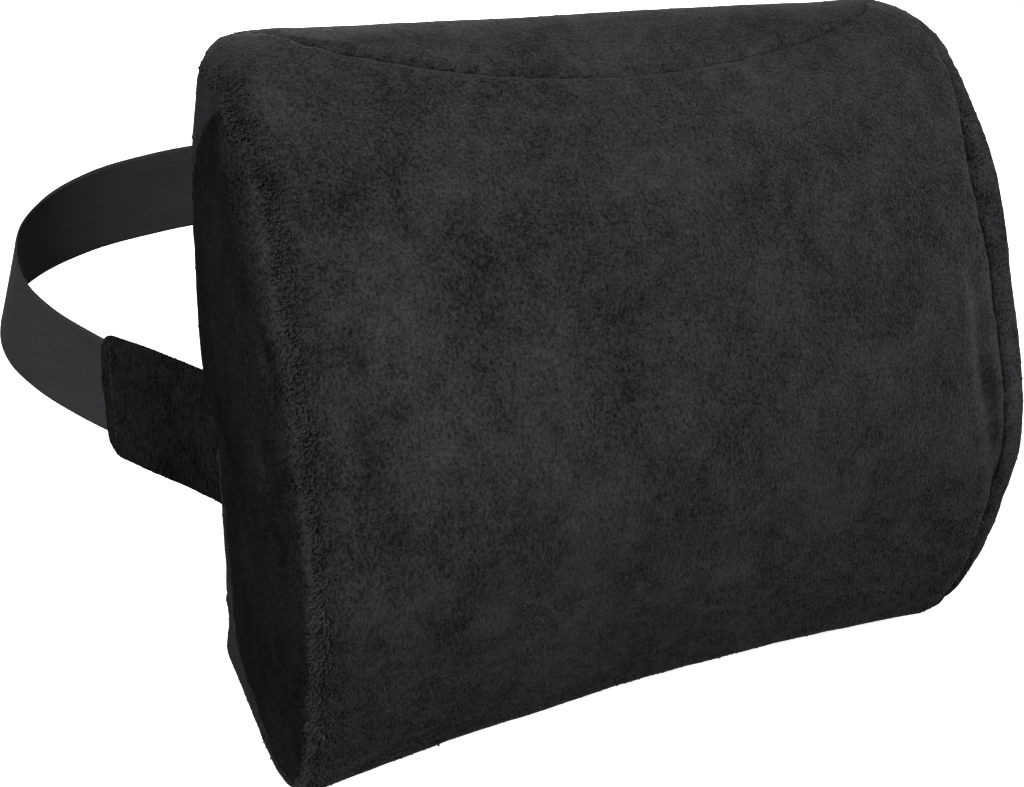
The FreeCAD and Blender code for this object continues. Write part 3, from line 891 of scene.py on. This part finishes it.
def make_pile(name, roots, ups, lean, spread, length, width, lift, seed, look, slot):
    """Locks of pile that stand on a surface at the roots and lie over, more or less towards lean."""
    random = np.random.default_rng(seed)
    count = len(roots)
    heading = unit(np.asarray(lean, float) + spread * random.normal(size=(count, 3)))
    flat_way = unit(heading - ups * (heading * ups).sum(axis=1, keepdims=True))
    size = (length * random.uniform(0.55, 1.25, count))[:, None, None]
    stand = (lift * random.uniform(0.5, 1.5, count))[:, None, None]
    t = np.array([0.0, 0.35, 0.7, 1.0])[None, :, None]
    paths = (roots[:, None, :] - 0.35 * ups[:, None, :]
             + size * (flat_way[:, None, :] * t ** 1.3 + stand * ups[:, None, :] * np.sin(t * 1.9)))
    taper = np.array([0.75, 1.0, 0.7, 0.12])[None, :]
    radii = 0.5 * width * random.uniform(0.6, 1.3, count)[:, None] * taper
    points, faces = tubes(paths, radii, ups, 4, 0.55)
    points[:, 2] = np.maximum(points[:, 2], PILE_FLOOR)
    dress(linked(name, mesh_from(name, points, faces)), look, slot)


def rooted(surface, mask, count, seed, jitter=1.1):
    """Root points and normals, scattered over the part of a surface that the mask picks."""
    points, normals = surface
    random = np.random.default_rng(seed)
    chosen = random.choice(np.flatnonzero(mask), count, replace=True)
    ups = unit(normals[chosen])
    shift = random.normal(size=(count, 3)) * jitter
    shift -= ups * (shift * ups).sum(axis=1, keepdims=True)
    return points[chosen] + shift, ups


def make_stitches(name, places, ups, length, thick, look, bridges=("cushion",)):
    """A row of stitches, one at each place, that bend down into the cloth at both ends."""
    ahead = unit(np.gradient(places, axis=0))
    t = np.array([-1.0, -0.8, 0.0, 0.8, 1.0])[None, :, None]
    dip = np.array([-1.6, 0.0, 0.5, 0.0, -1.6])[None, :, None]
    paths = (places[:, None, :] + ahead[:, None, :] * t * length / 2
             + ups[:, None, :] * dip * thick / 2)
    radii = np.broadcast_to(np.array([0.6, 1.0, 1.0, 1.0, 0.6]) * thick / 2, (len(places), 5))
    points, faces = tubes(paths, radii, ups, 6, 0.8)
    row = linked(name, mesh_from(name, points, faces))
    if len(bridges) == 1:
        return dress(row, look, "thread", bridges[0])
    dress(row, look, "thread", None)
    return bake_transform(row)


DOWN = (0.0, 0.0, -1.0)
PILE_FROM = 4.0                 # height above the base at which the panels' pile begins
LOWER_PILE_FROM = 15.0
LOWER_PILE_TO = 95.0            # about where the denser pile low on the front ends
LOWER_PILE_RAGGED = 45.0        # and how far that line wanders
RIDGE_WIDTH = 11.0              # the thick pile lies this close to the left front seam
CREST_WIDTH = 3.0
# panels apart from the front, with their number of locks and slot
OTHER_PILES = (
    ("side_panel_left", 1500, "velour_side"),
    ("side_panel_right", 1500, "velour_side"),
    ("back_panel_upper", 6000, "velour"),
    ("back_panel_lower", 1500, "velour"),
)


def front_piles(front, look, tuft_look):
    """Pile on the front: sparse all over, denser low down, and thick along the left seam."""
    points = front["points"]
    surface = points, front["normals"]
    height = points[:, 2]
    above_floor = height > PILE_FROM
    to_left_seam = -gusset_field(points, -1)
    ragged = LOWER_PILE_TO + LOWER_PILE_RAGGED * clouds(points, 22.0, 9)
    lower = (height > LOWER_PILE_FROM) & (height < ragged)
    ridge = (to_left_seam < RIDGE_WIDTH) & above_floor
    crest = (to_left_seam < CREST_WIDTH) & above_floor
    make_pile("pile_front", *rooted(surface, above_floor, 7000, 11),
              DOWN, 0.45, 1.7, 0.7, 0.25, 12, look, "velour")
    make_pile("pile_lower_front", *rooted(surface, lower, 6000, 17),
              (0.2, 0.0, -1.0), 0.7, 2.4, 1.1, 0.45, 18, look, "velour")
    make_pile("pile_ridge", *rooted(surface, ridge, 2600, 13),
              (-0.5, 0.1, -0.8), 0.8, 1.7, 0.9, 0.55, 14, tuft_look, "velour")
    make_pile("pile_crest", *rooted(surface, crest, 2600, 15),
              (-0.8, 0.2, -0.6), 0.8, 2.3, 1.2, 0.8, 16, tuft_look, "velour")


def other_piles(panels, looks):
    """Sparse pile on the sides and the back, clear of the zip."""
    for seed, (name, count, slot) in enumerate(OTHER_PILES):
        points, normals = panels[name]["points"], panels[name]["normals"]
        free = (points[:, 2] > PILE_FROM) & (near_zip(points) < 0.2)
        make_pile("pile_" + name, *rooted((points, normals), free, count, 20 + seed),
                  DOWN, 0.45, 1.5, 0.6, 0.25, 30 + seed, looks[name], slot)


TOP_STITCH_PITCH = 3.9
TOP_STITCH_DROP = 1.6
TOP_STITCH_HALF = 126.0


def top_seam_stitches(front, look):
    """The dashes of the topstitch just below the curved seam at the top of the front."""
    vertices = [Vector(point) for point in front["points"]]
    surface = BVHTree.FromPolygons(vertices, front["faces"])
    places = []
    ups = []
    for x in np.arange(-TOP_STITCH_HALF, TOP_STITCH_HALF, TOP_STITCH_PITCH):
        z = TOP_SEAM_MIDDLE + TOP_SEAM_RISE * (x / TOP_SEAM_HALF) ** 2 - TOP_STITCH_DROP
        place, up, _, _ = surface.ray_cast(Vector((x, -200.0, z)), Vector((0.0, 1.0, 0.0)))
        if place is None:
            continue
        places.append(place)
        ups.append(up)
    return make_stitches("top_seam_stitches", np.array(places), unit(np.array(ups)), 2.5, 0.6, look)


ZIP_STITCH_PITCH = 3.2
ZIP_STITCH_OFFSET = 3.4


def zip_stitches(look):
    """Topstitching along both edges of the zip's slot."""
    for name, side in (("zip_stitches_upper", 1), ("zip_stitches_lower", -1)):
        across = np.arange(-SLOT_HALF, SLOT_HALF, ZIP_STITCH_PITCH)
        height = np.full(len(across), ZIP_Z + side * (SLOT_RISE + ZIP_STITCH_OFFSET))
        places = np.stack([across, np.full(len(across), REAR + 0.25), height], axis=1)
        ups = np.broadcast_to(np.array([0.0, 1.0, 0.0]), places.shape)
        make_stitches(name, places, ups, 2.3, 0.55, look)


TAPE_RIB_PITCH = 1.6
TAPE_WEFT_PITCH = 1.2
TAPE_INSET = 0.08               # the woven faces lie this far inside the CAD tape, so ribs stay in it


def zip_tapes(look):
    """The two woven tapes, ribbed along their length."""
    for name in ("zipper_tape_upper", "zipper_tape_lower"):
        low, high = (np.array(corner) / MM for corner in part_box(name))
        along = np.linspace(low[0], high[0], 500)
        upward = np.linspace(low[2], high[2], 44)
        x, z = np.meshgrid(along, upward, indexing="ij")
        ribs = 0.05 * np.cos(2.0 * math.pi * (z - ZIP_Z) / TAPE_RIB_PITCH)
        wefts = 0.03 * np.cos(2.0 * math.pi * x / TAPE_WEFT_PITCH)
        outer = np.stack([x, high[1] - TAPE_INSET + ribs + wefts, z], axis=-1)
        inner = np.stack([x, low[1] + TAPE_INSET - ribs - wefts, z], axis=-1)
        points, faces = closed_band(outer, inner)
        tape = linked("woven_" + name, mesh_from("woven_" + name, points, faces))
        dress(tape, look, "zip_tape")
        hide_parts(name)


COIL_PITCH = 1.35
COIL_WIRE = 0.30


def zip_coils(look):
    """The two nylon coils, each a flattened helix along the zip."""
    for phase, name in ((0.0, "zipper_coil_upper"), (0.5, "zipper_coil_lower")):
        low, high = (np.array(corner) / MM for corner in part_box(name))
        middle = (low + high) / 2
        reach = (high - low) / 2 - COIL_WIRE
        turn = np.arange(low[0] + COIL_WIRE, high[0] - COIL_WIRE, COIL_PITCH / 12.0)
        angle = 2.0 * math.pi * (turn / COIL_PITCH + phase)
        out = middle[1] + reach[1] * np.sin(angle)
        up = middle[2] + reach[2] * np.cos(angle)
        path = np.stack([turn, out, up], axis=1)
        radii = np.full((1, len(path)), COIL_WIRE)
        points, faces = tubes(path[None], radii, np.array([[1.0, 0.0, 0.0]]), 6)
        coil = linked("coil_" + name.split("_")[-1], mesh_from(name, points, faces))
        dress(coil, look, "zip_coil")
        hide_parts(name)


# ---------------------------------------------------------------- room, light and camera

CAMERA_TARGET = Vector((-0.0496, 0.005, 0.1426))
CAMERA_DISTANCE = 0.568
CAMERA_AZIMUTH = math.radians(25.86)
CAMERA_ELEVATION = math.radians(26.52)
CAMERA_ROLL = math.radians(2.15)
CAMERA_LENS = 44.57


def make_camera():
    """A camera that stands to the front left of the cushion and looks down on it."""
    look = Vector((math.sin(CAMERA_AZIMUTH) * math.cos(CAMERA_ELEVATION),
                   math.cos(CAMERA_AZIMUTH) * math.cos(CAMERA_ELEVATION),
                   -math.sin(CAMERA_ELEVATION)))
    level = look.cross(Vector((0, 0, 1))).normalized()
    upright = level.cross(look)
    right = level * math.cos(CAMERA_ROLL) + upright * math.sin(CAMERA_ROLL)
    up = upright * math.cos(CAMERA_ROLL) - level * math.sin(CAMERA_ROLL)
    data = bpy.data.cameras.new("camera")
    data.lens = CAMERA_LENS
    data.sensor_width = 36.0
    data.clip_start = 0.01
    camera = bpy.data.objects.new("camera", data)
    bpy.context.scene.collection.objects.link(camera)
    camera.rotation_mode = "QUATERNION"
    camera.rotation_quaternion = Matrix((right, up, -look)).transposed().to_quaternion()
    camera.location = CAMERA_TARGET - look * CAMERA_DISTANCE
    bpy.context.scene.camera = camera


SKY_BRIGHT_SIDE = (-0.35, -0.55, 0.76)
SKY_DARK = 0.02
SKY_LIGHT = 0.50
# each soft light: its place, what it is turned to, its size and its power
LIGHTS = {
    "key": ((-0.95, -0.95, 0.95), (0.0, 0.0, 0.15), 0.8, 38.0),
    "rim": ((1.5, -0.5, 0.55), (0.1, 0.0, 0.15), 0.7, 26.0),
    "back": ((0.5, 2.0, 0.65), (0.0, 0.1, 0.15), 1.2, 62.0),
}


def area_light(name, place, target, size, power):
    """A soft square light at a place, turned to a target."""
    data = bpy.data.lights.new(name, "AREA")
    data.shape = "SQUARE"
    data.size = size
    data.energy = power
    light = bpy.data.objects.new(name, data)
    bpy.context.scene.collection.objects.link(light)
    light.location = place
    aim = Vector(target) - Vector(place)
    light.rotation_mode = "QUATERNION"
    light.rotation_quaternion = aim.to_track_quat("-Z", "Y")


def make_sky():
    """A surround that looks white, and lights the scene mostly from the front, left and above."""
    world = bpy.data.worlds.new("sky")
    world.use_nodes = True
    tree = world.node_tree
    tree.nodes.clear()
    towards = put(tree, "TexCoord").outputs["Generated"]
    facing = put(tree, "VectorMath", {0: towards, 1: SKY_BRIGHT_SIDE}, operation="DOT_PRODUCT")
    glow = put(tree, "MapRange",
               {"Value": facing.outputs["Value"], "From Min": -0.2, "From Max": 0.95,
                "To Min": SKY_DARK, "To Max": SKY_LIGHT}, interpolation_type="SMOOTHSTEP")
    seen = put(tree, "LightPath").outputs["Is Camera Ray"]
    strength = put(tree, "Mix", {0: seen, 2: glow.outputs["Result"], 3: 1.0}, data_type="FLOAT")
    white = put(tree, "Background",
                {"Color": (1.0, 1.0, 1.0, 1.0), "Strength": strength.outputs[0]})
    put(tree, "OutputWorld", {"Surface": white.outputs["Background"]})
    bpy.context.scene.world = world


def make_room():
    """A pale floor, the sky and three soft lights."""
    bpy.ops.mesh.primitive_plane_add(size=30.0, location=(0, 0, -0.0002))
    floor = bpy.context.object
    floor.name = "floor"
    floor.data.materials.append(paper_white())
    make_sky()
    for name, (place, target, size, power) in LIGHTS.items():
        area_light(name, place, target, size, power)
    bpy.context.scene.view_settings.view_transform = "Standard"


# ---------------------------------------------------------------- put together

make_camera()
make_room()
# lit and shaded copies of one velour: the panels' copies differ in tone and in painted light and shade
# by facing; the tab's copy is painted dark as shade
pile = velour("velour_front", 0.84, (1.2, 1.2, 2.2), 0.04, 0.06, (0.20, 1.20))
side_pile = velour("velour_side", 0.95, (1.0, 1.2, 1.6), 0.0, 0.02, (0.36, 1.45))
back_pile = velour("velour_back", 1.0, (1.2, 1.2, 2.0), 0.03, 0.05, (0.25, 1.10))
# painted shade: the tab's velour is made dark to stand in for the shade on that side
shaded_tab_pile = velour("velour_tab", 0.36, (0.9, 0.9, 3.5), 0.0, 0.02)
tuft_pile = velour("velour_tuft", 0.95, (1.0, 1.0, 1.6), 0.03, 0.04)
nylon_look = nylon()
metal_look = painted_metal()
thread_look = thread()
tape_look = woven_tape()

pad = cushion_pad()
panels = cover_panels(pad, {
    "front_panel": (pile, "velour"),
    "side_panel_left": (side_pile, "velour_side"),
    "side_panel_right": (side_pile, "velour_side"),
    "back_panel_upper": (back_pile, "velour"),
    "back_panel_lower": (back_pile, "velour"),
})
inner_layers(pad, {"liner": (knit(), "liner_knit"), "foam": (foam(), "foam")})
bpy.data.objects.remove(pad)

front = panels["front_panel"]
front_piles(front, pile, tuft_pile)
# painted shade: the left side's locks take the dark tab copy, the right side's locks the lighter tuft
# copy
other_piles(panels, {"side_panel_left": shaded_tab_pile, "side_panel_right": tuft_pile,
                     "back_panel_upper": tuft_pile, "back_panel_lower": tuft_pile})

stitches = top_seam_stitches(front, thread_look)
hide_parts("top_seam_thread")
zip_stitches(thread_look)
zip_tapes(tape_look)
zip_coils(nylon_look)
make_strap(satin())
for side in (-1, 1):
    make_tab(side, shaded_tab_pile, thread_look)

CAD_LOOKS = {
    "zipper_top_stops": nylon_look, "zipper_bottom_stop": nylon_look,
    "zipper_slider": metal_look, "zipper_pull": metal_look,
}
for node, look in CAD_LOOKS.items():
    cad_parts[node].data.materials.clear()
    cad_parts[node].data.materials.append(look)
